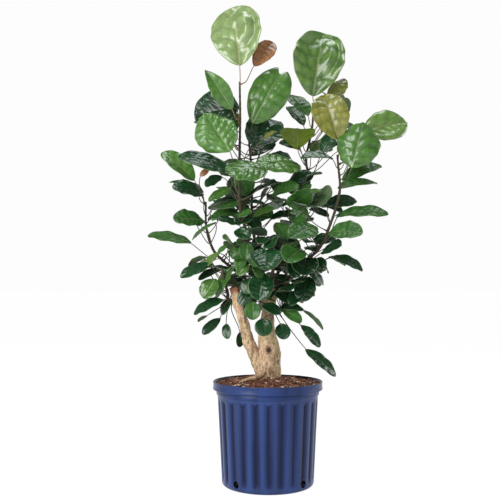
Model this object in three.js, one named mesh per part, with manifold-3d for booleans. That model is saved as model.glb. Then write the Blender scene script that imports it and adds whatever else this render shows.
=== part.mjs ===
// Potted aralia (Polyscias scutellaria) grown in stump form, in a fluted nursery pot.
// Millimetres, +Z up. The origin is the centre of the pot's underside, and the plant's front faces -Y.
// Everything above the pot is chained: pot -> potting mix -> trunk -> stems -> leaves, so a changed size
// moves whatever stands on it.

import * as THREE from "three";
import { mergeVertices } from "three/addons/utils/BufferGeometryUtils.js";
import Module from "manifold-3d";

const wasm = await Module();
wasm.setup();

// ---------------------------------------------------------------- driving dimensions

const clearance = 0.3; // gap kept between pieces that touch

// Pot: a thin moulded cone with vertical flutes, under a two-step rim band.
const potHeight = 250;
const potWall = 2;
const rimRadius = 133.5;
const lipHeight = 20; // upper, widest step of the rim band
const bandRadius = 125;
const bandHeight = 12; // lower step of the rim band
const shoulderRadius = 122.5; // body just under the band
const heelRadius = 111.5; // body just above the rounded bottom corner
const heelHeight = 10;
const baseRadius = 104; // flat underside
const fluteCount = 24;
const grooveDepth = 2.5; // of the grooves between the flutes
const fluteMargin = 14; // plain wall left above and below the flutes
const drainHoleCount = 4;
const drainHoleRadius = 9;
const drainHoleHeight = 18; // hole centre above the ground
const firstDrainHoleDegrees = 47; // measured from straight ahead, about the vertical axis

// Potting mix: fills the pot to just under the rim and rises to the trunk.
const mixDropAtWall = 9;
const mixMound = 17;

// Trunk: two cut stumps that share one foot, with a surface root.
const trunkBack = 10; // the foot stands this far behind the pot's axis
const trunkSunk = 30; // length of the foot under the mix

// Stems: slender shoots, thickest where they leave the trunk.
const stemRootRadius = 4.5;
const stemTipRadius = 2.4;

// Leaves: a round petiole and a lens-shaped blade.
const petioleRadius = 1.3;
const bladeThickness = 1.6;
const bladeArch = 0.05; // rise of the blade's middle, as a share of its length
const bladeCup = 0.06; // rise of the blade's margins, as a share of its width

const potSegments = fluteCount * 3;
const mixSegments = 36;
const stumpSides = 14;
const stemSides = 6;
const leafSides = 4;

// ---------------------------------------------------------------- geometry helpers

/** A geometry with only merged positions, so that it is a closed indexed mesh. */
function welded(geometry) {
  const bare = geometry.clone();
  bare.deleteAttribute("normal");
  bare.deleteAttribute("uv");
  return mergeVertices(bare, 1e-4);
}

/** A manifold solid from a closed three.js geometry. */
function toSolid(geometry) {
  const bare = welded(geometry);
  return new wasm.Manifold(
    new wasm.Mesh({
      numProp: 3,
      vertProperties: new Float32Array(bare.attributes.position.array),
      triVerts: new Uint32Array(bare.index.array),
    }),
  );
}

/** A three.js geometry from a manifold solid. */
function toGeometry(solid) {
  const mesh = solid.getMesh();
  const geometry = new THREE.BufferGeometry();
  geometry.setAttribute("position", new THREE.BufferAttribute(mesh.vertProperties, 3));
  geometry.setIndex(new THREE.BufferAttribute(mesh.triVerts, 1));
  geometry.computeVertexNormals();
  return geometry;
}

/** A closed surface of revolution about +Z from a list of [radius, height] points on one side. */
function revolve(profile, segments) {
  const points = profile.map(([radius, height]) => new THREE.Vector2(radius, height));
  return new THREE.LatheGeometry(points, segments).rotateX(Math.PI / 2);
}

/**
 * Bends a closed cylinder along stations {centre, tangent, side, section(angle) -> [across, up]}.
 * Angle 0 points along side x tangent, the upper face, and a quarter turn points along side.
 */
function sweep(stations, sides) {
  const steps = stations.length - 1;
  const geometry = new THREE.CylinderGeometry(1, 1, 1, sides, steps);
  const position = geometry.attributes.position;
  for (let i = 0; i < position.count; i += 1) {
    const x = position.getX(i);
    const z = position.getZ(i);
    const station = stations[Math.round((position.getY(i) + 0.5) * steps)];
    const up = new THREE.Vector3().crossVectors(station.side, station.tangent);
    const [across, rise] = Math.hypot(x, z) < 0.5 ? [0, 0] : station.section(Math.atan2(x, z));
    const point = station.centre.clone().addScaledVector(station.side, across).addScaledVector(up, rise);
    position.setXYZ(i, point.x, point.y, point.z);
  }
  return welded(geometry);
}

/** Carries a side vector from the last station back to the first, kept square to each tangent. */
function carrySide(stations, lastSide) {
  const side = lastSide.clone();
  for (const station of [...stations].reverse()) {
    side.addScaledVector(station.tangent, -side.dot(station.tangent)).normalize();
    station.side = side.clone();
  }
  return stations;
}

const roundSection = (radius) => (angle) => [radius * Math.sin(angle), radius * Math.cos(angle)];
const vector = ([x, y, z]) => new THREE.Vector3(x, y, z);

/** A limb is a smooth path with a radius at each share of its length. */
function makeLimb(points, radii) {
  const path = new THREE.CatmullRomCurve3(points, false, "centripetal");
  const radiusAt = (share) => {
    const place = share * (radii.length - 1);
    const index = Math.min(Math.floor(place), radii.length - 2);
    return THREE.MathUtils.lerp(radii[index], radii[index + 1], place - index);
  };
  return { path, radiusAt };
}

/** The closed surface of a limb, optionally swollen by a clearance. */
function limbGeometry({ path, radiusAt }, sides, steps, swell = 0) {
  const stations = [];
  for (let i = 0; i <= steps; i += 1) {
    const share = i / steps;
    stations.push({
      centre: path.getPointAt(share),
      tangent: path.getTangentAt(share),
      section: roundSection(radiusAt(share) + swell),
    });
  }
  const start = new THREE.Vector3(1, 0, 0);
  return sweep(carrySide(stations, start), sides);
}

/** The place on a limb's bark at a share of its length, facing a heading, and the way out of it. */
function budOn({ path, radiusAt }, share, heading) {
  const tangent = path.getTangentAt(share);
  const out = heading.clone().addScaledVector(tangent, -heading.dot(tangent)).normalize();
  const point = path.getPointAt(share).addScaledVector(out, radiusAt(share) + clearance);
  return { point, out };
}

// ---------------------------------------------------------------- pot

const bodyRadiusAt = (height) =>
  THREE.MathUtils.mapLinear(height, heelHeight, potHeight - lipHeight - bandHeight, heelRadius, shoulderRadius);

const bandBottom = potHeight - lipHeight - bandHeight;
const lipBottom = potHeight - lipHeight;
const fluteBottom = heelHeight + fluteMargin;
const fluteTop = bandBottom - fluteMargin;

/** How deep the grooves are at a height: full between the margins, none at the heel and the shoulder. */
function grooveDepthAt(height) {
  const fromBottom = (height - heelHeight) / fluteMargin;
  const fromTop = (bandBottom - height) / fluteMargin;
  return grooveDepth * THREE.MathUtils.clamp(Math.min(fromBottom, fromTop), 0, 1);
}

/** The pot's outer side from the underside's edge to the lip, as [radius, height]. */
const potOutside = [
  [baseRadius, 0],
  [heelRadius - 2, heelHeight * 0.3],
  [heelRadius, heelHeight],
  [bodyRadiusAt(fluteBottom), fluteBottom],
  [bodyRadiusAt(fluteTop), fluteTop],
  [shoulderRadius, bandBottom],
  [bandRadius, bandBottom + 1],
  [bandRadius, lipBottom - 1],
  [rimRadius, lipBottom],
  [rimRadius, potHeight],
];

/** The pot's inner side from the lip down to the floor. */
const potInside = [
  [rimRadius - potWall, potHeight],
  [rimRadius - potWall, lipBottom + potWall],
  [bandRadius - potWall, lipBottom + potWall],
  [bandRadius - potWall, bandBottom + potWall + 1],
  [shoulderRadius - potWall, bandBottom],
  [bodyRadiusAt(fluteTop) - potWall, fluteTop],
  [bodyRadiusAt(fluteBottom) - potWall, fluteBottom],
  [heelRadius - potWall, heelHeight],
  [baseRadius - potWall, potWall],
];

/** Presses the flutes into a revolved wall: broad ribs side by side, with a narrow groove between each two. */
function pressFlutes(geometry) {
  const position = geometry.attributes.position;
  for (let i = 0; i < position.count; i += 1) {
    const x = position.getX(i);
    const y = position.getY(i);
    const turn = (Math.atan2(y, x) / (2 * Math.PI)) * fluteCount;
    const inGroove = Math.abs(turn - Math.round(turn)) < 0.1;
    const depth = inGroove ? grooveDepthAt(position.getZ(i)) : 0;
    const radius = Math.hypot(x, y);
    const scale = radius > baseRadius ? (radius - depth) / radius : 1;
    position.setXY(i, x * scale, y * scale);
  }
  return geometry;
}

function makePot() {
  const profile = [[0, 0], ...potOutside, ...potInside, [0, potWall]];
  let pot = toSolid(pressFlutes(revolve(profile, potSegments)));
  for (let i = 0; i < drainHoleCount; i += 1) {
    const drill = new THREE.CylinderGeometry(drainHoleRadius, drainHoleRadius, 4 * heelHeight, 16);
    drill.translate(0, -heelRadius, 0);
    drill.rotateZ(THREE.MathUtils.degToRad(firstDrainHoleDegrees) + (i * 2 * Math.PI) / drainHoleCount);
    drill.translate(0, 0, drainHoleHeight);
    pot = pot.subtract(toSolid(drill));
  }
  return toGeometry(pot);
}

// ---------------------------------------------------------------- trunk

const mixTopAtWall = potHeight - mixDropAtWall;
const foot = new THREE.Vector3(0, trunkBack, mixTopAtWall + mixMound);

/** Places measured from the trunk's foot, which stands on the mix. */
const fromFoot = (points) => points.map((point) => vector(point).add(foot));

const stumps = {
  main: makeLimb(
    fromFoot([
      [0, 0, -trunkSunk],
      [2, 0, 5],
      [5, 0, 35],
      [6, 0, 63],
      [0, 0, 92],
      [-1, 1, 125],
      [2, 2, 160],
      [4, 2, 190],
      [4, 2, 217],
    ]),
    [28, 31, 29, 27, 23, 18, 16.5, 17, 17],
  ),
  left: makeLimb(
    fromFoot([
      [6, 0, -trunkSunk],
      [-14, 0, 10],
      [-43, -5, 77],
      [-60, -8, 138],
      [-73, -10, 183],
      [-83, -12, 220],
    ]),
    [17, 16, 14.5, 13.5, 12.5, 11.5],
  ),
};

const surfaceRoot = makeLimb(
  fromFoot([
    [-8, -18, 3],
    [-26, -28, -1],
    [-42, -42, -5],
    [-60, -56, -10],
  ]),
  [7, 5.5, 4, 1.5],
);

/** The whole trunk as one solid: stumps and root grew together. */
function trunkSolid(swell = 0) {
  const main = toSolid(limbGeometry(stumps.main, stumpSides, 14, swell));
  const left = toSolid(limbGeometry(stumps.left, stumpSides, 10, swell));
  const root = toSolid(limbGeometry(surfaceRoot, stemSides, 6, swell));
  return main.add(left).add(root);
}

// ---------------------------------------------------------------- potting mix

function makePottingMix() {
  const gap = potWall + clearance;
  const top = mixTopAtWall;
  const profile = [
    [0, gap],
    [baseRadius - gap - 1, gap],
    [heelRadius - gap - 0.5, heelHeight + 0.5],
    [bodyRadiusAt(fluteBottom) - grooveDepth - gap, fluteBottom],
    [bodyRadiusAt(fluteTop) - grooveDepth - gap, fluteTop],
    [shoulderRadius - gap - 0.5, bandBottom],
    [bandRadius - gap - 0.3, bandBottom + gap + 2],
    [bandRadius - gap - 0.3, lipBottom + gap],
    [rimRadius - gap - 0.3, lipBottom + gap],
    [rimRadius - gap - 0.3, top],
    [rimRadius * 0.8, top + mixMound * 0.2],
    [rimRadius * 0.45, top + mixMound * 0.75],
    [0, top + mixMound],
  ];
  const socket = trunkSolid(clearance);
  const heap = toSolid(revolve(profile, mixSegments));
  return toGeometry(heap.subtract(socket).subtract(socket.translate([0, 0, -clearance])));
}

// ---------------------------------------------------------------- stems

// Each stem leaves its stump at a share of the stump's length, facing a heading, and runs through
// places measured from that bud.
const stemPlan = {
  left: {
    stump: "main",
    at: 0.97,
    heading: [-1, -0.5, 0],
    run: [
      [-15, -10, 30],
      [-28, -22, 70],
      [-38, -32, 110],
      [-42, -38, 150],
      [-54, -42, 185],
      [-57, -44, 225],
      [-58, -44, 275],
      [-57, -40, 328],
      [-56, -34, 392],
      [-56, -28, 452],
      [-57, -24, 512],
    ],
  },
  inner: {
    stump: "main",
    at: 0.95,
    heading: [-0.6, 1, 0],
    run: [
      [-5, 14, 50],
      [-20, 30, 106],
      [-30, 45, 152],
      [-34, 56, 208],
      [-34, 62, 260],
      [-34, 64, 312],
      [-38, 62, 354],
      [-42, 58, 400],
    ],
  },
  centre: {
    stump: "main",
    at: 0.97,
    heading: [0.6, 0.8, 0],
    run: [
      [12, 12, 45],
      [42, 24, 105],
      [67, 34, 161],
      [85, 40, 218],
      [92, 42, 264],
      [91, 40, 300],
      [84, 36, 330],
      [91, 32, 368],
      [100, 28, 416],
      [102, 24, 452],
      [100, 20, 474],
    ],
  },
  right: {
    stump: "main",
    at: 0.92,
    heading: [1, -0.3, 0],
    run: [
      [30, -12, 45],
      [62, -26, 78],
      [94, -40, 107],
      [111, -48, 129],
      [126, -54, 167],
      [137, -58, 198],
      [147, -60, 232],
      [152, -60, 262],
      [149, -58, 301],
      [146, -56, 341],
    ],
  },
  outer: {
    stump: "main",
    at: 0.86,
    heading: [-1, 0.4, 0],
    run: [
      [-35, 8, 48],
      [-69, 18, 78],
      [-97, 26, 101],
      [-119, 34, 122],
      [-134, 40, 155],
      [-142, 44, 189],
      [-143, 46, 226],
      [-143, 46, 252],
    ],
  },
  front: {
    stump: "main",
    at: 0.9,
    heading: [0.1, -1, 0],
    run: [
      [2, -22, 35],
      [6, -40, 65],
      [16, -52, 98],
      [32, -56, 134],
    ],
  },
  low_right: {
    stump: "main",
    at: 0.76,
    heading: [1, 0.1, 0],
    run: [
      [24, -3, 22],
      [48, -8, 50],
      [66, -12, 70],
    ],
  },
  low_left: {
    stump: "left",
    at: 0.88,
    heading: [-1, -0.3, 0],
    run: [
      [-12, -6, 22],
      [-20, -10, 50],
      [-24, -14, 80],
    ],
  },
};

/** A stem's limb: out of the bark first, then through its run. */
function growStem({ stump, at, heading, run }) {
  const { point, out } = budOn(stumps[stump], at, vector(heading));
  const collar = point.clone().addScaledVector(out, 2 * stemRootRadius);
  const places = run.map((place) => vector(place).add(point));
  return makeLimb([point, collar, ...places], [stemRootRadius, stemTipRadius]);
}

const stems = Object.fromEntries(Object.entries(stemPlan).map(([name, plan]) => [name, growStem(plan)]));

const stemSteps = ({ path }) => Math.max(6, Math.round(path.getLength() / 26));

// ---------------------------------------------------------------- leaves

// Ways that a blade's upper face can look.
const UP = [0, 0, 1];
const UP_FRONT = [0, -0.6, 1];
const TILTED = [0, -1, 0.9];
const TILTED_LEFT = [-0.4, -1, 0.8];
const TILTED_RIGHT = [0.4, -1, 0.8];
const FRONT = [0, -1, 0.35];
const BACK = [0, 0.6, 1];

// Each leaf leaves its stem at a share of the stem's length; reach runs from there to the blade's base,
// and blade runs from the base to the tip.
const leafPlan = {
  left: [
    { at: 0.98, reach: [0, -5, 50], blade: [-15, 40, 158], width: 130, faces: FRONT },
    { at: 0.99, reach: [35, 20, 50], blade: [50, 20, 68], width: 50, faces: TILTED_RIGHT },
    { at: 0.82, reach: [-20, 5, 28], blade: [-65, -20, 92], width: 75, faces: TILTED_LEFT },
    { at: 0.8, reach: [-12, 35, 48], blade: [-105, 25, -15], width: 85, faces: TILTED },
    { at: 0.58, reach: [-25, -45, 50], blade: [-58, 10, 85], width: 105, faces: FRONT },
    { at: 0.5, reach: [-30, -5, 45], blade: [-115, -20, 35], width: 60, faces: TILTED },
    { at: 0.56, reach: [-10, 70, 45], blade: [-55, 40, -10], width: 50, faces: UP_FRONT },
    { at: 0.26, reach: [-20, -5, 42], blade: [-52, -20, 10], width: 45, faces: UP_FRONT },
    { at: 0.45, reach: [60, -30, 70], blade: [-92, -35, -5], width: 78, faces: TILTED },
  ],
  inner: [
    { at: 0.98, reach: [10, -70, 30], blade: [78, 30, 150], width: 102, faces: FRONT },
    { at: 0.62, reach: [115, -80, 72], blade: [-100, -50, 5], width: 72, faces: TILTED },
    { at: 0.86, reach: [60, 45, 50], blade: [-62, -30, -35], width: 50, faces: TILTED },
    { at: 0.96, reach: [35, 40, 40], blade: [50, 45, 35], width: 58, faces: TILTED },
    { at: 0.44, reach: [25, 60, 60], blade: [40, 90, 0], width: 80, faces: BACK },
    { at: 0.18, reach: [-20, 65, 60], blade: [-40, 75, -15], width: 75, faces: BACK },
  ],
  centre: [
    { at: 0.98, reach: [0, 0, 28], blade: [30, 35, 178], width: 126, faces: FRONT },
    { at: 0.94, reach: [40, 15, 45], blade: [45, 10, 55], width: 45, faces: TILTED_RIGHT },
    { at: 0.88, reach: [-10, 35, 42], blade: [-45, 35, 60], width: 55, faces: UP_FRONT },
    { at: 0.82, reach: [-15, 55, 50], blade: [-35, 50, 60], width: 42, faces: UP_FRONT },
    { at: 0.68, reach: [-28, -70, 35], blade: [5, 50, 62], width: 88, faces: UP },
    { at: 0.66, reach: [15, 45, 55], blade: [50, 50, 25], width: 60, faces: TILTED },
    { at: 0.52, reach: [-20, -25, 40], blade: [-10, -50, -42], width: 64, faces: UP_FRONT },
    { at: 0.28, reach: [35, 65, 60], blade: [-30, 85, 30], width: 80, faces: BACK },
  ],
  right: [
    { at: 0.98, reach: [0, -15, 42], blade: [-35, 20, 115], width: 90, faces: FRONT },
    { at: 0.8, reach: [22, -45, 42], blade: [30, 20, 110], width: 106, faces: FRONT },
    { at: 0.94, reach: [64, 25, 85], blade: [112, 20, 28], width: 86, faces: FRONT },
    { at: 0.92, reach: [-15, 40, 30], blade: [-75, -20, -2], width: 50, faces: UP_FRONT },
    { at: 0.76, reach: [25, 90, 48], blade: [98, 50, 45], width: 60, faces: UP_FRONT },
    { at: 0.72, reach: [10, 25, 35], blade: [92, 20, 18], width: 50, faces: UP_FRONT },
    { at: 0.58, reach: [5, 80, 50], blade: [72, 40, 20], width: 50, faces: TILTED },
    { at: 0.52, reach: [30, 5, 42], blade: [118, -10, 8], width: 55, faces: UP_FRONT },
    { at: 0.44, reach: [20, -35, 30], blade: [68, -40, -5], width: 65, faces: TILTED },
    { at: 0.3, reach: [40, -35, 22], blade: [38, -45, 15], width: 50, faces: TILTED },
    { at: 0.28, reach: [80, -5, 15], blade: [62, -20, -32], width: 45, faces: UP_FRONT },
  ],
  outer: [
    { at: 0.98, reach: [-30, 10, 62], blade: [-82, -10, 72], width: 60, faces: TILTED },
    { at: 0.9, reach: [-10, -20, 50], blade: [-68, -40, 15], width: 58, faces: TILTED },
    { at: 0.97, reach: [-15, 40, 40], blade: [-85, 30, 32], width: 42, faces: UP_FRONT },
    { at: 0.64, reach: [-22, -10, 62], blade: [-70, -30, 5], width: 60, faces: TILTED },
    { at: 0.54, reach: [-75, 15, 35], blade: [-105, 20, 20], width: 50, faces: UP_FRONT },
  ],
  front: [
    { at: 0.56, reach: [-20, -25, 45], blade: [0, -50, -45], width: 78, faces: FRONT },
    { at: 0.97, reach: [75, -10, 40], blade: [-62, -45, -25], width: 66, faces: TILTED },
    { at: 0.7, reach: [55, -20, 25], blade: [-35, -45, -25], width: 62, faces: TILTED },
    { at: 0.64, reach: [75, 15, 15], blade: [-10, -55, -40], width: 66, faces: TILTED },
    { at: 0.28, reach: [-20, -20, 25], blade: [-10, -35, -60], width: 62, faces: FRONT },
    { at: 0.26, reach: [90, 20, 20], blade: [-15, -30, -55], width: 54, faces: TILTED },
  ],
  low_right: [
    { at: 0.2, reach: [50, -30, -40], blade: [42, -10, -48], width: 32, faces: TILTED_RIGHT },
    { at: 0.1, reach: [68, -40, -90], blade: [68, -10, -58], width: 36, faces: TILTED_RIGHT },
  ],
  low_left: [
    { at: 0.96, reach: [-30, 0, 12], blade: [-72, -20, -28], width: 46, faces: UP_FRONT },
    { at: 0.2, reach: [-15, -20, -5], blade: [-68, -10, -30], width: 42, faces: UP_FRONT },
  ],
};

/** A blade's half width at a share of its length: round, with a blunt base and a short point. */
function bladeHalfWidth(share, width) {
  const outline = Math.sin(Math.PI * share ** 0.8) ** 0.55;
  return Math.max(petioleRadius, (width / 2) * outline);
}

/** A blade's cross-section: a thin lens whose margins rise a little. */
function bladeSection(share, width) {
  const half = bladeHalfWidth(share, width);
  const rise = 2 * bladeCup * half;
  return (angle) => {
    const across = Math.sin(angle);
    return [half * across, (bladeThickness / 2) * Math.cos(angle) + rise * across ** 2];
  };
}

const petioleShares = [0, 0.3, 0.6, 0.85];
const bladeShares = [0, 0.08, 0.25, 0.5, 0.75, 0.92, 1];
const petiolePull = 0.3; // how far each end of a petiole keeps its direction, as a share of its length

/** One leaf: the petiole leaves the bark square to it and turns halfway into the blade's direction. */
function leafGeometry(stem, { at, reach, blade, width, faces }) {
  const length = vector(blade);
  const { point, out } = budOn(stem, at, vector(reach));
  const base = stem.path.getPointAt(at).add(vector(reach));
  const tip = base.clone().add(length);
  const pull = point.distanceTo(base) * petiolePull;
  const approach = vector(reach).normalize().add(length.clone().normalize()).normalize();
  const petiole = new THREE.CubicBezierCurve3(
    point,
    point.clone().addScaledVector(out, pull),
    base.clone().addScaledVector(approach, -pull),
    base,
  );
  const lastSide = new THREE.Vector3().crossVectors(length, vector(faces)).normalize();
  const upper = new THREE.Vector3().crossVectors(lastSide, length).normalize();
  const crest = base.clone().lerp(tip, 0.5).addScaledVector(upper, 2 * bladeArch * length.length());
  const midrib = new THREE.QuadraticBezierCurve3(base, crest, tip);
  const petioleStations = petioleShares.map((share) => ({
    centre: petiole.getPoint(share),
    tangent: petiole.getTangent(share),
    section: roundSection(petioleRadius),
  }));
  const bladeStations = bladeShares.map((share) => ({
    centre: midrib.getPoint(share),
    tangent: midrib.getTangent(share),
    section: bladeSection(share, width),
  }));
  return sweep(carrySide([...petioleStations, ...bladeStations], lastSide), leafSides);
}

// ---------------------------------------------------------------- assembly

const materials = {
  pot: new THREE.MeshStandardMaterial({ color: 0x232f55, roughness: 0.25, metalness: 0 }),
  mix: new THREE.MeshStandardMaterial({ color: 0x5a3526, roughness: 0.95, metalness: 0 }),
  bark: new THREE.MeshStandardMaterial({ color: 0xb79a7c, roughness: 0.85, metalness: 0 }),
  stem: new THREE.MeshStandardMaterial({ color: 0x3a2c22, roughness: 0.7, metalness: 0 }),
  leaf: new THREE.MeshStandardMaterial({ color: 0x2f6b2c, roughness: 0.35, metalness: 0 }),
};

const plant = new THREE.Group();

function addPiece(name, geometry, material) {
  const mesh = new THREE.Mesh(geometry, material);
  mesh.name = name;
  plant.add(mesh);
}

addPiece("pot", makePot(), materials.pot);
addPiece("potting_mix", makePottingMix(), materials.mix);
addPiece("trunk", toGeometry(trunkSolid()), materials.bark);
for (const [name, stem] of Object.entries(stems)) {
  addPiece(`${name}_stem`, limbGeometry(stem, stemSides, stemSteps(stem)), materials.stem);
  for (const [index, plan] of leafPlan[name].entries()) {
    addPiece(`${name}_leaf_${index + 1}`, leafGeometry(stem, plan), materials.leaf);
  }
}

export default plant;
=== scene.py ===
import math
import random

import bpy
import numpy as np
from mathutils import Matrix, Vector, noise
from mathutils.bvhtree import BVHTree


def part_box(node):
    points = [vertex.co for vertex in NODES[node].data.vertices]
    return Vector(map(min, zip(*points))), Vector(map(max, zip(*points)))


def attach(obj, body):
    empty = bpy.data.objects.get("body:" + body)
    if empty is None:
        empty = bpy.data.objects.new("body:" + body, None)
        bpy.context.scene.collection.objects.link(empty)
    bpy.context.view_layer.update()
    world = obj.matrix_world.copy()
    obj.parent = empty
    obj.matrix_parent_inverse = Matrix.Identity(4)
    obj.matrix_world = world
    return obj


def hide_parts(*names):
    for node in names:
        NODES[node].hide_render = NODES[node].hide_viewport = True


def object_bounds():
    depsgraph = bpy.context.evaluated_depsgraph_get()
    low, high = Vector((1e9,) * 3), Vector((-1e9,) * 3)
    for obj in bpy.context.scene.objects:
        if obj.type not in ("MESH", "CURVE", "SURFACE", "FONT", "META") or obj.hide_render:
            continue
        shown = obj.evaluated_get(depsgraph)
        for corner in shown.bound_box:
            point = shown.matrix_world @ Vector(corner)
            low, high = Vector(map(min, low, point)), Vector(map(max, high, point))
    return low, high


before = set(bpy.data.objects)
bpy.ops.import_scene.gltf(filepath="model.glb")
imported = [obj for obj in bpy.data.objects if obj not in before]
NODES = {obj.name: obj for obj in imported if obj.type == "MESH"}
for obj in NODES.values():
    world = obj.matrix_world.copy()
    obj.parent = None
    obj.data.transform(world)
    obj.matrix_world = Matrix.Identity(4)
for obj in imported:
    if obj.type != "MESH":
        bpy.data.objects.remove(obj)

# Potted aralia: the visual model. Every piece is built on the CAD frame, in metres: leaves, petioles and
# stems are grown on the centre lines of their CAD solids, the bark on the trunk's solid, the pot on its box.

MM = 0.001
BODY = "root"
CAD_LOW, CAD_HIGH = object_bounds()


# ---- meshes

def add_object(name, data):
    """A new object in the scene that holds a mesh, a light or a camera."""
    made = bpy.data.objects.new(name, data)
    bpy.context.scene.collection.objects.link(made)
    return made


def mark_points(mesh, attributes):
    """Stores float values on a mesh's vertices, for its material to read."""
    for key, values in attributes.items():
        layer = mesh.attributes.new(key, "FLOAT", "POINT")
        layer.data.foreach_set("value", np.asarray(values, dtype=np.float32))


def set_smooth(mesh, smooth):
    mesh.polygons.foreach_set("use_smooth", [smooth] * len(mesh.polygons))


def apply_modifiers(piece):
    """Gives a piece the mesh that its modifiers make, in place of the modifiers."""
    graph = bpy.context.evaluated_depsgraph_get()
    mesh = bpy.data.meshes.new_from_object(piece.evaluated_get(graph))
    piece.modifiers.clear()
    piece.data = mesh


def tree_of(mesh):
    return BVHTree.FromPolygons([v.co for v in mesh.vertices], [p.vertices for p in mesh.polygons])


def make_mesh(name, verts, faces, attributes=None, material_of_face=None):
    """A smooth-shaded object from arrays, with float point attributes."""
    mesh = bpy.data.meshes.new(name)
    mesh.from_pydata([tuple(v) for v in verts], [], [tuple(f) for f in faces])
    mark_points(mesh, attributes or {})
    if material_of_face is not None:
        mesh.polygons.foreach_set("material_index", np.asarray(material_of_face, dtype=np.int32))
    set_smooth(mesh, smooth=True)
    mesh.update()
    return add_object(name, mesh)


def finish_piece(piece, slot, materials, *replaced):
    """Gives a piece its materials and its body, and hides the CAD nodes that it stands for; slot is not used.
    """
    for material in materials:
        piece.data.materials.append(material)
    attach(piece, BODY)
    if replaced:
        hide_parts(*replaced)


def grid_faces(rows, columns, closed=False):
    """Quads of a rows x columns grid of vertices; closed joins the last column to the first."""
    faces = []
    for row in range(rows - 1):
        for column in range(columns if closed else columns - 1):
            a = row * columns + column
            b = row * columns + (column + 1) % columns
            faces.append((a, b, b + columns, a + columns))
    return faces


def closed_faces(rows, columns):
    """Faces around rings of vertices, with a fan at each end to the two vertices that follow the rings."""
    faces = [f[::-1] for f in grid_faces(rows, columns, closed=True)]
    first, last, end = rows * columns, rows * columns + 1, (rows - 1) * columns
    for k in range(columns):
        following = (k + 1) % columns
        faces += [(k, following, first), (end + following, end + k, last)]
    return faces


def shifted(faces, start):
    """Faces renumbered for vertices that begin at start."""
    return [tuple(i + start for i in face) for face in faces]


def unit(v):
    return v / max(np.linalg.norm(v), 1e-12)


def bend_frames(points):
    """A side and an up vector at each point of a path, turned as little as possible along it."""
    tangents = np.gradient(points, axis=0)
    tangents /= np.linalg.norm(tangents, axis=1)[:, None]
    sides, ups = [], []
    side = np.array((0.9, 0.3, 0.2))  # any direction that no path starts along
    for tangent in tangents:
        side = unit(side - tangent * side.dot(tangent))
        sides.append(side)
        ups.append(np.cross(side, tangent))
    return np.array(sides), np.array(ups)


def tube(points, radii, sides):
    """A closed round tube along a path: vertices and faces."""
    points = np.asarray(points)
    side, up = bend_frames(points)
    angles = np.linspace(0, 2 * math.pi, sides, endpoint=False)[None, :, None]
    ring = side[:, None] * np.cos(angles) + up[:, None] * np.sin(angles)
    verts = (points[:, None] + ring * np.asarray(radii)[:, None, None]).reshape(-1, 3)
    return np.vstack([verts, points[:1], points[-1:]]), closed_faces(len(points), sides)


def smooth_path(points, count):
    """A Catmull-Rom curve through the points, at even steps."""
    points = np.asarray(points, dtype=float)
    padded = np.vstack([2 * points[0] - points[1], points, 2 * points[-1] - points[-2]])
    dense = []
    for a, b, c, d in zip(padded, padded[1:], padded[2:], padded[3:]):
        for t in np.linspace(0, 1, 12, endpoint=False):
            dense.append(0.5 * (2 * b + (c - a) * t + (2 * a - 5 * b + 4 * c - d) * t ** 2
                                + (3 * b - a - 3 * c + d) * t ** 3))
    dense.append(points[-1])
    dense = np.array(dense)
    length = np.concatenate([[0], np.cumsum(np.linalg.norm(np.diff(dense, axis=0), axis=1))])
    wanted = np.linspace(0, length[-1], count)
    return np.stack([np.interp(wanted, length, dense[:, k]) for k in range(3)], axis=1)


# ---- reading the CAD sweeps

WELD = 0.05 * MM             # vertices of a CAD mesh that are closer than this are one


def cad_rings(node):
    """The cross-sections of a CAD sweep, from one end to the other, found by walking its edges."""
    mesh = NODES[node].data
    spots, ids = {}, []
    for vertex in mesh.vertices:
        key = tuple(round(c / WELD) for c in vertex.co)
        ids.append(spots.setdefault(key, len(spots)))
    places = np.zeros((len(spots), 3))
    for vertex, i in zip(mesh.vertices, ids):
        places[i] = vertex.co
    near = [set() for _ in places]
    for face in mesh.polygons:
        corners = [ids[v] for v in face.vertices]
        for a, b in zip(corners, corners[1:] + corners[:1]):
            near[a].add(b)
            near[b].add(a)
    for start, around in enumerate(near):
        rings, seen, edge = [], {start}, around
        while edge:
            rings.append(sorted(edge))
            seen |= edge
            edge = set().union(*(near[i] for i in edge)) - seen
        if len(seen) == len(places) and len(rings[-1]) == 1 and len({len(r) for r in rings[:-1]}) == 1:
            return [places[ring] for ring in rings[:-1]]
    raise ValueError(f"{node} isn't a plain sweep")


def stem_line(node):
    """A stem's centre line and radii, root first."""
    rings = cad_rings(node)
    centres = np.array([ring.mean(axis=0) for ring in rings])
    radii = np.array([np.linalg.norm(ring - ring.mean(axis=0), axis=1).mean() for ring in rings])
    return (centres, radii) if radii[0] > radii[-1] else (centres[::-1], radii[::-1])


def widest_pair(ring):
    gaps = np.linalg.norm(ring[:, None] - ring[None], axis=2)
    return np.unravel_index(gaps.argmax(), gaps.shape)


class Leaf:
    """Where a leaf lies: its petiole's line, and its blade's base, tip, crest, width and upper side."""

    def __init__(self, name, petiole, base, tip, crest, width, upper):
        self.name = name
        self.petiole = np.asarray(petiole)
        self.base = np.asarray(base)
        self.tip = np.asarray(tip)
        self.crest = np.asarray(crest)
        self.width = width
        along = unit(self.tip - self.base)
        self.upper = unit(upper - along * np.dot(upper, along))
        self.side = np.cross(along, self.upper)
        self.length = np.linalg.norm(self.tip - self.base)

    def spine(self, t):
        """The blade's middle line, at a share of the way from its base to its tip."""
        return (1 - t) ** 2 * self.base + 2 * t * (1 - t) * self.crest + t ** 2 * self.tip


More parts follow.
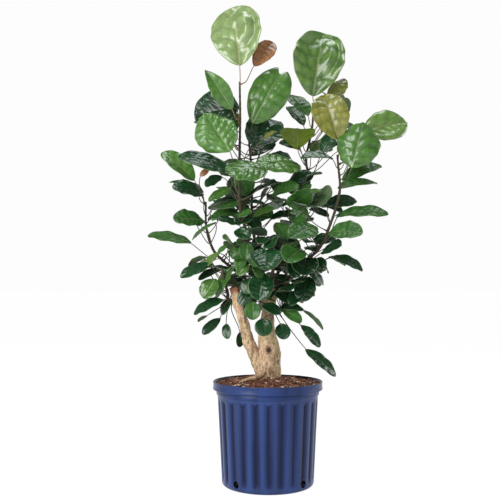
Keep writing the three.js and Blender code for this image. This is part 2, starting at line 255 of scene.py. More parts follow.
def leaf_of_node(node):
    """Reads a leaf back from its CAD sweep: narrow petiole rings, then the lens-shaped blade."""
    rings = cad_rings(node)
    spans = np.array([np.linalg.norm(ring[a] - ring[b]) for ring in rings for a, b in [widest_pair(ring)]])
    if spans[:4].sum() > spans[-4:].sum():
        rings = rings[::-1]
        spans = spans[::-1]
    base_at = int(np.argmax(spans > 3 * spans[0])) - 1
    centres = np.array([ring.mean(axis=0) for ring in rings])
    widest = int(spans.argmax())
    ring = rings[widest]
    left, right = widest_pair(ring)
    spine = np.delete(ring, [left, right], axis=0).mean(axis=0)
    upper = (ring[left] + ring[right]) / 2 - spine
    base, tip = centres[base_at], centres[-1]
    crest = 2 * spine - (base + tip) / 2
    return Leaf(node, centres[:base_at + 1], base, tip, crest, spans[widest], upper)


PETIOLE_RISE = 0.8           # of a petiole, against its reach to the side, where it suits a stem best
PETIOLE_PULL = 0.3           # how far its curve is pulled outwards at each end, as a share of its length


def leaf_at(name, stems, base, blade, width, faces):
    """A leaf that no CAD node holds, in millimetres; its petiole rises from the stem that suits it best."""
    base, blade = np.array(base) * MM, np.array(blade) * MM
    best = None
    for path, radii in stems.values():
        reach = base - path
        flat = np.hypot(reach[:, 0], reach[:, 1])
        misfit = np.abs(reach[:, 2] - PETIOLE_RISE * flat) + 0.5 * np.linalg.norm(reach, axis=1)
        k = int(misfit[:-1].argmin())
        if best is None or misfit[k] < best[0]:
            best = (misfit[k], path[k], unit(path[k + 1] - path[k]), radii[k])
    joint, along, radius = best[1:]
    reach = base - joint
    out = unit(reach - along * reach.dot(along))
    start = joint + out * (radius - 0.3 * MM)
    pull = PETIOLE_PULL * np.linalg.norm(base - start)
    approach = unit(unit(reach) + unit(blade))
    corners = [start, start + out * pull, base - approach * pull, base]
    petiole = [bezier(corners, t) for t in np.linspace(0, 1, 6)]
    tip = base + blade
    side = unit(np.cross(blade, faces))
    upper = np.cross(side, unit(blade))
    crest = (base + tip) / 2 + upper * (0.1 * np.linalg.norm(blade))
    return Leaf(name, petiole, base, tip, crest, width * MM, upper)


def bezier(corners, t):
    a, b, c, d = corners
    return (1 - t) ** 3 * a + 3 * t * (1 - t) ** 2 * b + 3 * t ** 2 * (1 - t) * c + t ** 3 * d


# ---- shader helpers

class Graph:
    """A small builder for a material's nodes."""

    def __init__(self, name):
        self.material = bpy.data.materials.new(name)
        self.material.use_nodes = True
        self.tree = self.material.node_tree
        self.tree.nodes.clear()
        self.shader = self.node("ShaderNodeBsdfPrincipled")
        output = self.node("ShaderNodeOutputMaterial")
        self.link(self.shader.outputs["BSDF"], output.inputs["Surface"])

    def node(self, kind, **settings):
        made = self.tree.nodes.new(kind)
        for key, value in settings.items():
            setattr(made, key, value)
        return made

    def link(self, source, target):
        self.tree.links.new(source, target)

    def put(self, socket, value):
        """Sets a socket from a number, a colour or another socket."""
        if isinstance(value, bpy.types.NodeSocket):
            self.link(value, socket)
        elif socket.type == "RGBA":
            socket.default_value = (*value, 1.0)
        else:
            socket.default_value = value

    def texture(self, kind, output, stretch, **inputs):
        """A procedural texture in the piece's own space, stretched along its axes."""
        mapping = self.node("ShaderNodeMapping")
        mapping.inputs["Scale"].default_value = stretch
        self.link(self.node("ShaderNodeTexCoord").outputs["Object"], mapping.inputs["Vector"])
        texture = self.node(kind)
        self.link(mapping.outputs["Vector"], texture.inputs["Vector"])
        for key, value in inputs.items():
            texture.inputs[key].default_value = value
        return texture.outputs[output]

    def noise(self, scale, detail=4.0, roughness=0.55, stretch=(1, 1, 1)):
        return self.texture("ShaderNodeTexNoise", "Fac", stretch,
                            Scale=scale, Detail=detail, Roughness=roughness)

    def voronoi(self, scale, stretch=(1, 1, 1)):
        return self.texture("ShaderNodeTexVoronoi", "Distance", stretch, Scale=scale)

    def attribute(self, name):
        return self.node("ShaderNodeAttribute", attribute_name=name).outputs["Fac"]

    def ramp(self, value, low, high, to_low=0.0, to_high=1.0):
        mapped = self.node("ShaderNodeMapRange")
        for key, number in (("From Min", low), ("From Max", high), ("To Min", to_low), ("To Max", to_high)):
            mapped.inputs[key].default_value = number
        self.link(value, mapped.inputs["Value"])
        return mapped.outputs["Result"]

    def math(self, operation, a, b):
        made = self.node("ShaderNodeMath", operation=operation)
        self.put(made.inputs[0], a)
        self.put(made.inputs[1], b)
        return made.outputs["Value"]

    def mix(self, amount, a, b, blend="MIX"):
        made = self.node("ShaderNodeMix", data_type="RGBA", blend_type=blend)
        self.put(made.inputs["Factor"], amount)
        self.put(made.inputs[6], a)
        self.put(made.inputs[7], b)
        return made.outputs[2]

    def bump(self, height, strength, distance):
        made = self.node("ShaderNodeBump")
        made.inputs["Strength"].default_value = strength
        made.inputs["Distance"].default_value = distance
        self.link(height, made.inputs["Height"])
        self.link(made.outputs["Normal"], self.shader.inputs["Normal"])

    def surface(self, **sockets):
        for key, value in sockets.items():
            self.put(self.shader.inputs[key.replace("_", " ")], value)
        return self.material


# ---- materials

def pot_plastic():
    """Glossy navy moulded plastic with vertical flow marks and fine scuffs, painted shade deep in the
    grooves, and a painted highlight on the flute crests and, more faintly, on the rim and base.
    """
    g = Graph("navy_plastic")
    flow = g.noise(26.0, detail=3, stretch=(1, 1, 0.06))
    cloud = g.noise(9.0, detail=2, stretch=(1, 1, 0.1))
    colour = g.mix(g.ramp(flow, 0.38, 0.62), (0.003, 0.011, 0.057), (0.014, 0.038, 0.158))
    colour = g.mix(g.ramp(cloud, 0.4, 0.6, 0, 0.6), colour, (0.004, 0.01, 0.05))
    scuffs = g.ramp(g.noise(160.0, detail=5, stretch=(1, 1, 0.3)), 0.62, 0.8, 0, 0.2)
    colour = g.mix(scuffs, colour, (0.09, 0.1, 0.16))
    # Painted light: lighter blue on the flute crests and, a little, on the rim and base, as a painted
    # highlight; near black deep in the grooves, as painted shade.
    groove = g.attribute("groove")
    colour = g.mix(g.ramp(groove, 0.5, 0.1, 0, 0.3), colour, (0.05, 0.085, 0.22))
    colour = g.mix(g.ramp(groove, 0.45, 0.95, 0, 0.9), colour, (0.002, 0.004, 0.018))
    colour = g.mix(g.attribute("inside"), colour, (0.004, 0.004, 0.006))
    g.bump(g.noise(240.0, detail=3), 0.08, 0.0004)
    rough = g.ramp(flow, 0.3, 0.7, 0.22, 0.36)
    return g.surface(Base_Color=colour, Roughness=rough, Specular_IOR_Level=0.2)


def mix_material():
    """Damp bark and peat: red-brown with dark gaps and pale fibres; its side down inside the pot painted near
    black as shade.
    """
    g = Graph("bark_mix")
    grain = g.noise(190.0, detail=6, roughness=0.7)
    lumps = g.noise(60.0, detail=4)
    colour = g.mix(g.ramp(grain, 0.35, 0.65), (0.022, 0.009, 0.006), (0.17, 0.06, 0.03))
    colour = g.mix(g.ramp(lumps, 0.45, 0.7, 0, 0.6), colour, (0.21, 0.085, 0.04))
    # Painted shade: the mix's side below its surface, down inside the pot, near black.
    colour = g.mix(g.attribute("wet"), colour, (0.004, 0.003, 0.003))
    g.bump(grain, 0.8, 0.003)
    return g.surface(Base_Color=colour, Roughness=0.92)


def chip_material():
    """Bark chips: each chip has its own shade, from near black over red-brown to straw."""
    g = Graph("bark_chips")
    shade = g.attribute("shade")
    grain = g.noise(420.0, detail=5, stretch=(1, 1, 3))
    dark = g.mix(g.ramp(shade, 0.0, 0.45), (0.03, 0.012, 0.008), (0.2, 0.07, 0.035))
    light = g.mix(g.ramp(shade, 0.45, 0.85), dark, (0.36, 0.15, 0.075))
    pale = g.mix(g.ramp(shade, 0.85, 0.95), light, (0.66, 0.52, 0.38))
    colour = g.mix(g.ramp(grain, 0.3, 0.7, 0, 0.45), pale, (0.05, 0.022, 0.014))
    g.bump(grain, 0.5, 0.001)
    return g.surface(Base_Color=colour, Roughness=0.88)


def trunk_bark():
    """Tan bark with pinkish and olive patches, pale corky specks and dark cracks; red-brown on the cuts;
    painted shade in the knot hole and where the bark sinks in.
    """
    g = Graph("trunk_bark")
    patches = g.noise(18.0, detail=3)
    grain = g.noise(95.0, detail=8, roughness=0.75, stretch=(1, 1, 0.5))
    specks = g.voronoi(190.0, stretch=(1, 1, 0.7))
    cracks = g.noise(42.0, detail=9, roughness=0.8, stretch=(1, 1, 0.35))
    pits = g.voronoi(120.0, stretch=(1, 1, 0.6))
    colour = g.mix(g.ramp(patches, 0.42, 0.58), (0.43, 0.31, 0.145), (0.43, 0.25, 0.155))
    colour = g.mix(g.ramp(grain, 0.42, 0.66), colour, (0.64, 0.5, 0.31))
    colour = g.mix(g.ramp(specks, 0.12, 0.4, 0.6, 0), colour, (0.8, 0.7, 0.5))
    colour = g.mix(g.ramp(pits, 0.1, 0.3, 0.7, 0), colour, (0.16, 0.08, 0.035))
    colour = g.mix(g.ramp(cracks, 0.36, 0.52, 0.95, 0), colour, (0.1, 0.05, 0.022))
    # Painted shade: dark brown in the knot hole and where the bark is pushed in.
    colour = g.mix(g.attribute("hollow"), colour, (0.05, 0.022, 0.012))
    colour = g.mix(g.attribute("cut"), colour, (0.24, 0.08, 0.045))
    g.bump(g.math("ADD", grain, g.math("MULTIPLY", cracks, 1.8)), 1.0, 0.0025)
    return g.surface(Base_Color=colour, Roughness=0.86)


def stem_bark():
    """Dark brown young bark, greener and smoother towards the tip, with pale lenticels."""
    g = Graph("stem_bark")
    grain = g.noise(260.0, detail=5, stretch=(1, 1, 0.4))
    specks = g.voronoi(520.0)
    colour = g.mix(g.ramp(grain, 0.35, 0.7), (0.018, 0.012, 0.009), (0.065, 0.042, 0.028))
    colour = g.mix(g.ramp(specks, 0.08, 0.2, 0.5, 0), colour, (0.17, 0.12, 0.08))
    colour = g.mix(g.attribute("young"), colour, (0.04, 0.035, 0.016))
    g.bump(grain, 0.5, 0.0008)
    return g.surface(Base_Color=colour, Roughness=0.75, Specular_IOR_Level=0.25)


def petiole_skin():
    """Thin petiole skin: dark, with a green or a pinkish cast."""
    g = Graph("petiole_skin")
    cast = g.ramp(g.attribute("tone"), 0.3, 0.9)
    streaks = g.noise(300.0, detail=3, stretch=(1, 1, 0.3))
    colour = g.mix(cast, (0.03, 0.032, 0.012), (0.22, 0.1, 0.055))
    colour = g.mix(g.ramp(streaks, 0.4, 0.7, 0, 0.5), colour, (0.09, 0.07, 0.03))
    g.bump(streaks, 0.3, 0.0004)
    return g.surface(Base_Color=colour, Roughness=0.45)


def leaf_skin(name, deep, bright, vein, rim, under, roughness, coat, shine):
    """A glossy leaf: two greens in patches, pale veins and margin on top, a duller underside; painted light
    and shade too, lighter on the pillows between the veins, darker in the creases, and darker patches at
    random painted as the shade of folds.
    """
    g = Graph(name)
    patches = g.noise(38.0, detail=4, roughness=0.6)
    mottle = g.noise(170.0, detail=5, roughness=0.65)
    fold_shade = g.ramp(g.noise(26.0, detail=3, roughness=0.6), 0.3, 0.5, 0.5, 0)
    below = g.attribute("under")
    veins = g.attribute("vein")
    tone = g.attribute("tone")
    shade = g.math("ADD", g.math("MULTIPLY", patches, 0.7), g.math("MULTIPLY", tone, 0.35))
    # Painted light and shade: lighter on the tops of the pillows, darker in the creases along the veins.
    shade = g.math("ADD", shade, g.math("MULTIPLY", g.attribute("pillow"), 0.55))
    colour = g.mix(g.ramp(shade, 0.42, 1.12), deep, bright)
    colour = g.mix(g.ramp(mottle, 0.4, 0.75, 0, 0.3), colour, bright)
    # Painted shade: darker patches at random, standing for the shade of folds.
    colour = g.mix(fold_shade, colour, deep)
    colour = g.mix(g.math("MULTIPLY", veins, 0.55), colour, vein)
    colour = g.mix(g.ramp(g.attribute("rim"), 0.955, 1.0, 0, 0.9), colour, rim)
    dull = g.mix(g.math("MULTIPLY", veins, 0.5), under, vein)
    colour = g.mix(below, colour, dull)
    rough = g.math("ADD", g.ramp(mottle, 0.3, 0.7, roughness - 0.05, roughness + 0.06),
                   g.math("MULTIPLY", below, 0.25))
    g.bump(g.math("ADD", mottle, g.math("MULTIPLY", veins, -0.8)), 0.12, 0.0004)
    return g.surface(Base_Color=colour, Roughness=rough, Coat_Weight=coat, Coat_Roughness=0.18,
                     Specular_IOR_Level=shine)


# For each skin: its deep and bright green, which are also its painted shade and painted light, its veins, rim
# and underside, its roughness, coat and shine.
LEAF_COLOURS = {
    "light": ((0.07, 0.13, 0.035), (0.18, 0.26, 0.09), (0.42, 0.4, 0.22), (0.17, 0.2, 0.05),
              (0.16, 0.26, 0.11), 0.34, 0.6, 0.5),
    "grass": ((0.02, 0.065, 0.008), (0.105, 0.2, 0.035), (0.3, 0.36, 0.13), (0.16, 0.13, 0.04),
              (0.13, 0.22, 0.09), 0.36, 0.5, 0.45),
    "olive": ((0.06, 0.085, 0.008), (0.2, 0.2, 0.033), (0.36, 0.28, 0.1), (0.2, 0.12, 0.04),
              (0.1, 0.125, 0.015), 0.36, 0.4, 0.45),
    "bright": ((0.012, 0.056, 0.006), (0.065, 0.17, 0.024), (0.27, 0.38, 0.13), (0.13, 0.22, 0.06),
               (0.1, 0.2, 0.07), 0.34, 0.45, 0.4),
    "mid": ((0.009, 0.046, 0.008), (0.042, 0.13, 0.022), (0.15, 0.25, 0.08), (0.15, 0.24, 0.08),
            (0.06, 0.11, 0.045), 0.36, 0.15, 0.26),
    "dark": ((0.001, 0.011, 0.004), (0.009, 0.055, 0.014), (0.05, 0.12, 0.045), (0.2, 0.3, 0.13),
             (0.045, 0.09, 0.05), 0.32, 0.3, 0.32),
    "moss": ((0.03, 0.055, 0.002), (0.08, 0.12, 0.006), (0.16, 0.17, 0.03), (0.12, 0.12, 0.03),
             (0.04, 0.07, 0.002), 0.55, 0.0, 0.1),
    "bronze": ((0.1, 0.035, 0.012), (0.25, 0.11, 0.04), (0.3, 0.16, 0.08), (0.16, 0.07, 0.04),
               (0.18, 0.11, 0.08), 0.36, 0.2, 0.32),
}
LEAF_SKINS = {name: leaf_skin(f"leaf_{name}", *look) for name, look in LEAF_COLOURS.items()}
PETIOLE = petiole_skin()


# ---- leaves

BLADE_GRAIN = 2.0 * MM       # spacing of a blade's vertices
BLADE_THICKNESS = 0.7 * MM
PETIOLE_RADIUS = 1.15 * MM
PETIOLE_SIDES = 7
VEIN_RANKS = 5.5             # side veins along a blade
QUILT_HEIGHT = 0.045         # of a pillow with quilt 1, as a share of the blade's width
RING_CREASES = ((0.62, 1.0), (0.3, -0.7))  # how far out each of the ring's creases lies, and its height
YOUNG_FROM, YOUNG_OVER = 0.6, 0.45         # heights in metres over which petioles turn from dark to pinkish

# How a blade is shaped: it is widest at a share of its length; base and top say how pointed its ends
# are (0.3 blunt, 1 pointed), lobe is the depth of a heart-shaped base and notch that of a cleft tip;
# cup and fold lift the margins, roll turns the last bit down, wave ripples the margin, quilt is the
# height of the pillows between the veins, nod bends the tip down, ring creases the blade's middle,
# twist turns the tip, turn the whole blade, and broad is its width against the CAD's.
PLAIN = dict(widest=0.5, base=0.38, top=0.48, lobe=0.07, notch=0.0, cup=0.05, fold=0.06, roll=0.02,
             wave=0.02, quilt=0.8, nod=0.04, ring=0.0, twist=0.0, turn=0.0)
OVAL = dict(widest=0.55, base=0.6, top=0.48, lobe=0.0)


def outline(u, form):
    """A blade's half width at a share of its length, as a share of its widest."""
    widest = form["widest"]
    lower = np.sin(np.clip(u / widest, 0, 1) * math.pi / 2) ** form["base"]
    upper = np.cos(np.clip((u - widest) / (1 - widest), 0, 1) * math.pi / 2) ** form["top"]
    return np.maximum(np.where(u > widest, upper, lower), 0.04)


def quilting(x, y, length, width, phase):
    """Height (0 to 1) of the pillows between the veins, and how close a point is to a vein (0 to 1)."""
    rank = (y - 0.75 * np.abs(x) + 0.9 * x ** 2 / width) / (length / VEIN_RANKS) + phase
    rank += 0.3 * np.sin(7 * x / width + 2 * phase) + 0.25 * np.sin(6 * y / length + 4 * x / width + phase)
    across = np.abs(x) / (width / 6) + 0.5 * np.floor(rank)
    to_lateral = np.abs(rank - np.round(rank)) * 2
    to_midrib = np.clip(np.abs(x) / (0.1 * width), 0, 1)
    pillow = np.sin(to_lateral * math.pi / 2) ** 0.8 * to_midrib ** 0.7
    pillow = pillow * (0.6 + 0.4 * np.abs(np.sin(across * math.pi + np.sin(5 * y / length))))
    lateral = np.clip(1 - to_lateral / 0.14, 0, 1) * np.clip(1.2 - np.abs(x) / (0.4 * width), 0, 1)
    midrib = np.clip(1.25 - np.abs(x) / (0.02 * width), 0, 1) * (1.15 - y / length)
    return pillow, np.clip(np.maximum(0.5 * lateral, midrib), 0, 1)


def blade_plan(leaf, form, u, v, phases):
    """Where a blade's points lie across and along it: its outline, base lobes and cleft tip."""
    side_phase = np.where(v > 0, phases[0], phases[1])
    scallop = 1 + 0.015 * np.sin(9 * math.pi * u + side_phase) + 0.01 * np.sin(23 * u + phases[2])
    x = v * outline(u, form) * leaf.width / 2 * scallop
    lobe = np.sin(math.pi * np.abs(v) ** 0.8) + 0.35 * np.abs(v)
    y = leaf.length * (u - form["lobe"] * lobe * (1 - u) ** 6)
    y -= leaf.length * form["notch"] * np.exp(-(x / (0.09 * leaf.width)) ** 2) * u ** 8
    return x, y


def ring_creases(leaf, x, y):
    """The two creases around a blade's middle, both strongest towards one side."""
    across, along = x / leaf.width - 0.06, y / leaf.length - 0.6
    strength = np.clip(0.55 + 0.6 * np.cos(np.arctan2(along, across) - 0.5), 0, 1)
    middle = np.hypot(across, along) * 2
    return [depth * strength * leaf.width * np.exp(-((middle - reach) / 0.11) ** 2)
            for reach, depth in RING_CREASES]


def blade_relief(leaf, form, u, v, x, y, pillow, phases):
    """How far a blade's points stand off its middle plane."""
    edge, width = np.abs(v), leaf.width
    side_phase = np.where(v > 0, phases[0], phases[1])
    open_here = np.clip(1.4 * outline(u, form) - 0.06, 0, 1)
    z = form["cup"] * width * (edge * open_here) ** 2 + form["fold"] * np.abs(x)
    z -= form["roll"] * width * edge ** 8 * open_here
    z += form["wave"] * width * np.sin(5 * math.pi * u + side_phase) * edge ** 3 * open_here
    z -= form["nod"] * leaf.length * u ** 3
    z += form["quilt"] * QUILT_HEIGHT * width * (pillow - 0.5) * (1 - edge ** 8) * open_here
    z += 0.03 * width * np.sin(3.1 * v + phases[1]) * np.sin(5.3 * u + phases[2])
    for crease in ring_creases(leaf, x, y):
        z += form["ring"] * crease
    return z


def blade_surface(leaf, form, rng, grain):
    """The blade's middle surface as a grid of points, with its veins, closeness to the margin and pillows."""
    rows = int(np.clip(leaf.length / grain, 14, 56))
    columns = int(np.clip(leaf.width / grain, 12, 48)) | 1
    u = (0.5 - 0.5 * np.cos(np.linspace(0, math.pi, rows)))[:, None] * np.ones((1, columns))
    v = np.linspace(-1, 1, columns)[None, :] * np.ones((rows, 1))
    v = np.sign(v) * np.abs(v) ** 0.85
    phases = [rng.uniform(0, 2 * math.pi) for _ in range(4)]
    x, y = blade_plan(leaf, form, u, v, phases)
    pillow, vein = quilting(x, y, leaf.length, leaf.width, phases[3])
    z = blade_relief(leaf, form, u, v, x, y, pillow, phases)
    t = (y / leaf.length)[..., None]
    tangent = 2 * (1 - t) * (leaf.crest - leaf.base) + 2 * t * (leaf.tip - leaf.crest)
    tangent /= np.linalg.norm(tangent, axis=2)[..., None]
    up = np.cross(leaf.side[None, None], tangent)
    turn = form["turn"] + form["twist"] * (u - 0.3)
    across, rise = x * np.cos(turn) - z * np.sin(turn), x * np.sin(turn) + z * np.cos(turn)
    points = leaf.spine(t) + leaf.side * across[..., None] + up * rise[..., None]
    return points, vein, np.maximum(np.abs(v), 1 - 3 * (1 - u)), pillow


def shell(points, thickness):
    """A closed thin shell around a grid of points: vertices of both faces, and quads."""
    rows, columns = points.shape[:2]
    normal = np.cross(np.gradient(points, axis=1), np.gradient(points, axis=0))
    normal /= np.maximum(np.linalg.norm(normal, axis=2), 1e-9)[..., None]
    half = normal * (thickness / 2)[..., None]
    verts = np.vstack([(points + half).reshape(-1, 3), (points - half).reshape(-1, 3)])
    count = rows * columns
    faces = grid_faces(rows, columns)
    faces += [face[::-1] for face in shifted(faces, count)]
    border = [(0, c) for c in range(columns)] + [(r, columns - 1) for r in range(1, rows)]
    border += [(rows - 1, c) for c in range(columns - 2, -1, -1)] + [(r, 0) for r in range(rows - 2, 0, -1)]
    ids = [r * columns + c for r, c in border]
    faces += [(b, a, a + count, b + count) for a, b in zip(ids, ids[1:] + ids[:1])]
    return verts, faces


def petiole_path(leaf, points):
    """The petiole's line, which runs on under the blade as its midrib."""
    stalk = smooth_path(leaf.petiole, 14)
    rows, columns = points.shape[:2]
    steps = np.linspace(0.12 * rows, 0.75 * rows, 9).astype(int)
    return np.vstack([stalk, points[steps, columns // 2] - leaf.upper * (1.1 * MM)])


def leaf_parts(leaf, form, tone, grain=BLADE_GRAIN):
    """A leaf's blade shell, petiole and midrib: vertices, faces, attributes and each face's material."""
    rng = random.Random(leaf.name)
    shape = dict(PLAIN)
    for key in ("cup", "fold", "roll", "wave", "nod"):
        shape[key] *= rng.uniform(0.4, 1.7)
    shape["twist"] = rng.uniform(-0.25, 0.25)
    shape.update(form)
    points, vein, rim, pillow = blade_surface(leaf, shape, rng, grain)
    verts, faces = shell(points, BLADE_THICKNESS * (1.15 - 0.5 * np.clip(rim, 0, 1) ** 4))
    path = petiole_path(leaf, points)
    share = np.linspace(0, 1, len(path))
    radii = PETIOLE_RADIUS * (1 + 1.1 * np.exp(-share / 0.04)) * np.clip(1.5 - 1.15 * share, 0.25, 1)
    stalk_verts, stalk_faces = tube(path, radii, PETIOLE_SIDES)
    rest = np.zeros(len(stalk_verts))
    # Pillow also goes to the skin, which paints light on the pillows and shade in the creases.
    attributes = {key: np.concatenate([values.ravel(), values.ravel(), rest])
                  for key, values in (("vein", vein), ("rim", rim), ("pillow", pillow))}
    attributes["under"] = np.concatenate([np.zeros(rim.size), np.ones(rim.size), rest])
    youth = np.clip((stalk_verts[:, 2] - YOUNG_FROM) / YOUNG_OVER, 0, 1)
    attributes["tone"] = np.concatenate([np.full(2 * rim.size, tone), youth])
    materials = [0] * len(faces) + [1] * len(stalk_faces)
    return np.vstack([verts, stalk_verts]), faces + shifted(stalk_faces, len(verts)), attributes, materials


def join_leaves(name, skin, parts, *replaced):
    """One piece that holds one or more leaves of the same skin."""
    verts, faces, materials = [], [], []
    for leaf_verts, leaf_faces, _, leaf_materials in parts:
        faces += shifted(leaf_faces, len(verts))
        verts += list(leaf_verts)
        materials += leaf_materials
    attributes = {key: np.concatenate([part[2][key] for part in parts]) for key in parts[0][2]}
    piece = make_mesh(name, verts, faces, attributes, materials)
    slot = "mature_leaf" if skin in ("mid", "dark") else "young_leaf"
    finish_piece(piece, slot, [LEAF_SKINS[skin], PETIOLE], *replaced)


def grow_leaf(leaf, skin, form, tone, *replaced):
    """A leaf as a piece of its own."""
    join_leaves(f"{leaf.name}_blade", skin, [leaf_parts(leaf, form, tone)], *replaced)


# Leaves that don't take their look from their height alone.
LEAF_LOOKS = {
    "left_leaf_1": ("light", dict(OVAL, ring=-0.06, quilt=0.45, cup=0.05, fold=0.05, nod=0.0, turn=0.22)),
    "left_leaf_2": ("bronze", dict(OVAL, quilt=0.8)),
    "left_leaf_3": ("bright", dict(OVAL, fold=0.2, top=0.85, widest=0.45, quilt=0.4, broad=0.66)),
    "left_leaf_4": ("dark", dict(quilt=1.2, turn=0.55, broad=1.3)),
    "left_leaf_5": ("bright", dict(quilt=1.1, cup=-0.17, fold=0.0, roll=0.05, turn=0.05)),
    "left_leaf_9": ("bright", dict(quilt=1.0, cup=-0.08)),
    "inner_leaf_1": ("bright", dict(OVAL, fold=0.05, cup=-0.1, notch=0.13, roll=0.03, quilt=0.5)),
    "inner_leaf_2": ("bright", dict(quilt=0.9, cup=-0.06)),
    "centre_leaf_1": ("grass", dict(OVAL, broad=1.06, fold=0.22, quilt=0.45, wave=0.05, ring=-0.045)),
    "centre_leaf_2": ("olive", dict(OVAL, cup=-0.14, fold=0.0, quilt=0.6, turn=0.15)),
    "centre_leaf_5": ("moss", dict(OVAL, base=0.9, quilt=0.4)),
    "centre_leaf_6": ("bright", {}),
    "right_leaf_1": ("olive", dict(OVAL, quilt=0.6, fold=0.16)),
    "right_leaf_2": ("bright", dict(OVAL, cup=-0.17, quilt=0.5, nod=0.0, fold=0.0, turn=0.2)),
    "right_leaf_3": ("grass", dict(OVAL, roll=0.1, quilt=0.5)),
    "outer_leaf_1": ("bright", dict(OVAL, fold=0.25, quilt=0.5)),
}


def look_of(leaf):
    """The skin and shape of a leaf: young and light at the top, deep green below."""
    if leaf.name in LEAF_LOOKS:
        return LEAF_LOOKS[leaf.name]
    height = (leaf.base[2] - CAD_LOW.z) / (CAD_HIGH.z - CAD_LOW.z)
    chance = random.Random(leaf.name + "look").random()
    share_of_mid = 0.65 if height > 0.5 else 0.25
    return ("mid" if chance < share_of_mid else "dark"), {}


def grow_cad_leaves():
    """The leaves that the CAD holds, each in place of its node."""
    grown = []
    for node in sorted(NODES):
        if "_leaf_" in node:
            leaf = leaf_of_node(node)
            skin, form = look_of(leaf)
            leaf.width *= form.get("broad", 1.0)
            grow_leaf(leaf, skin, form, random.Random(node + "tone").random(), node)
            grown.append(leaf)
    return grown


